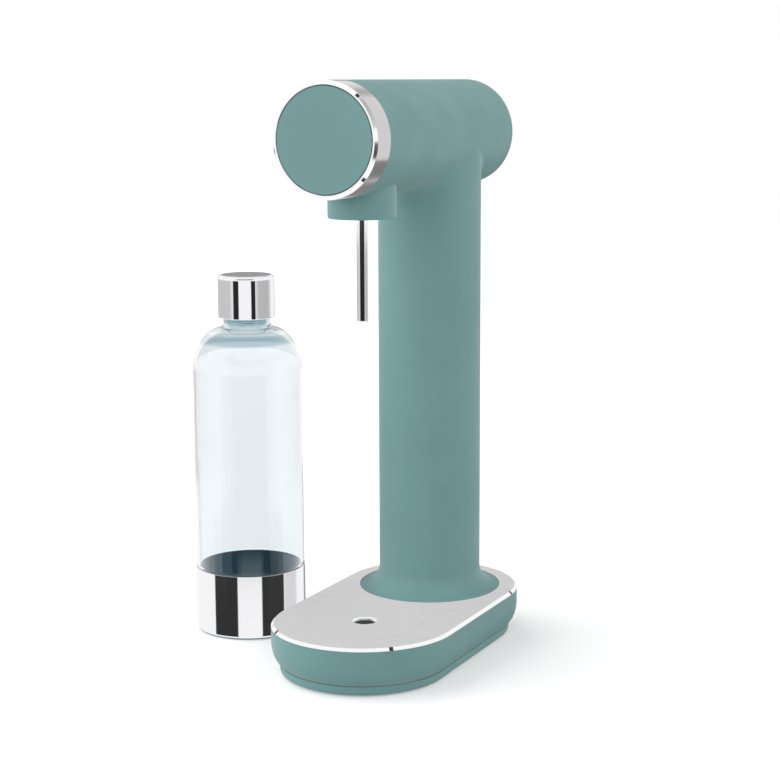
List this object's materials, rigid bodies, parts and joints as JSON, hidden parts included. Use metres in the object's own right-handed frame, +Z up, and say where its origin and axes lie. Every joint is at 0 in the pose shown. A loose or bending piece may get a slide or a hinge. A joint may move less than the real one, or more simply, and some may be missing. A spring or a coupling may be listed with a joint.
{
  "type": "sparkling water maker",
  "caption": "Tabletop sparkling water maker: tucked-in base with drip tray, round column, round head with a rotary dial, carbonating tube, and a capped bottle beside it.",
  "frame": {"origin": "on the table under the column's axis, on the hatch's rubber foot", "axes": "+Z up, the front with the dial and the spout is -Y, the bottle stands at -X"},
  "size_m": [0.2458, 0.2514, 0.43],
  "materials": {
    "paint": "satin paint, blue-green",
    "brushed_plate": "fine brushed, polished chamfer",
    "dial_steel": "turned satin",
    "polished_steel": "polished",
    "rubber": "matt",
    "fasteners": "satin",
    "inner_steel": "satin",
    "gas_aluminium": "satin",
    "brass": "machined",
    "grey_plastic": "moulded, fine texture",
    "dark_plastic": "moulded, fine texture",
    "clear_bottle": "clear, faint blue tint"
  },
  "bodies": {
    "machine": {"base_body": "paint", "base_plinth": "paint", "rubber_feet": "rubber", "base_screws": "fasteners", "top_plate": "brushed_plate", "cylinder_guide": "grey_plastic", "foot_screws": "fasteners", "column_casing": "paint", "head_casing": "paint", "spout_collar": "paint", "inner_frame": "grey_plastic", "front_bush": "brass", "middle_bush": "brass", "rear_bush": "brass", "valve_block": "brass", "valve_washer": "rubber", "plunger_spring": "inner_steel", "gas_pipe": "inner_steel", "nozzle_block": "dark_plastic", "relief_valve": "brass", "bottle_socket": "grey_plastic", "socket_screws": "fasteners", "neck_seal": "rubber", "carbonating_tube": "polished_steel"},
    "dial": {"dial_ring": "dial_steel", "dial_disc": "paint", "dial_hub": "dark_plastic", "dial_shaft": "inner_steel", "dial_screw": "fasteners"},
    "plunger": {"valve_plunger": "inner_steel"},
    "gas_bottle": {"gas_cylinder": "gas_aluminium", "gas_valve": "brass"},
    "gas_pin": {"valve_pin": "inner_steel"},
    "hatch": {"cylinder_hatch": "paint", "hatch_foot": "rubber"},
    "drip_cup": {"drip_cup": "dark_plastic"},
    "drip_lid": {"drip_lid": "brushed_plate"},
    "bottle": {"bottle_body": "clear_bottle", "bottle_shoulder": "clear_bottle", "bottle_neck": "clear_bottle", "bottle_foot_cup": "polished_steel"},
    "cap_disc": {"cap_seal": "rubber"},
    "cap": {"cap_shell": "polished_steel", "cap_liner": "grey_plastic"}
  },
  "joints": [
    {"name": "dial_turn", "type": "hinge", "parent": "machine", "child": "dial", "pos_m": [0, -0.15, 0.3895], "axis": [0, 1, 0], "range_deg": [0, 45], "stiffness_Nm_per_rad": 0.4, "springref_deg": -17.19},
    {"name": "plunger_press", "type": "slide", "parent": "machine", "child": "plunger", "axis": [0, 0, -1], "range_m": [0, 0.0024], "deforming": ["plunger_spring"]},
    {"name": "cylinder_turn", "type": "hinge", "parent": "machine", "child": "gas_bottle", "pos_m": [0, 0, 0.2], "axis": [0, 0, -1], "range_deg": [0, 720]},
    {"name": "pin_press", "type": "slide", "parent": "gas_bottle", "child": "gas_pin", "axis": [0, 0, -1], "range_m": [0, 0.0024]},
    {"name": "hatch_turn", "type": "hinge", "parent": "machine", "child": "hatch", "pos_m": [0, 0, 0.003], "axis": [0, 0, -1], "range_deg": [0, 30]},
    {"name": "cup_lift", "type": "slide", "parent": "machine", "child": "drip_cup", "axis": [0, 0, 1], "range_m": [0, 0.06]},
    {"name": "lid_lift", "type": "slide", "parent": "drip_cup", "child": "drip_lid", "axis": [0, 0, 1], "range_m": [0, 0.05]},
    {"name": "bottle_lift", "type": "slide", "parent": "machine", "child": "bottle", "axis": [0, 0, 1], "range_m": [0, 0.15]},
    {"name": "cap_rise", "type": "slide", "parent": "bottle", "child": "cap_disc", "axis": [0, 0, 1], "range_m": [0, 0.01]},
    {"name": "cap_turn", "type": "hinge", "parent": "cap_disc", "child": "cap", "pos_m": [-0.134, -0.0491, 0.26], "axis": [0, 0, 1], "range_deg": [0, 720]}
  ],
  "couplings": [
    {"joint": "plunger_press", "follows": "dial_turn", "m_per_rad": 0.003},
    {"joint": "pin_press", "follows": "dial_turn", "m_per_rad": 0.003},
    {"joint": "cap_turn", "follows": "cap_rise", "rad_per_m": 1256.6}
  ]
}
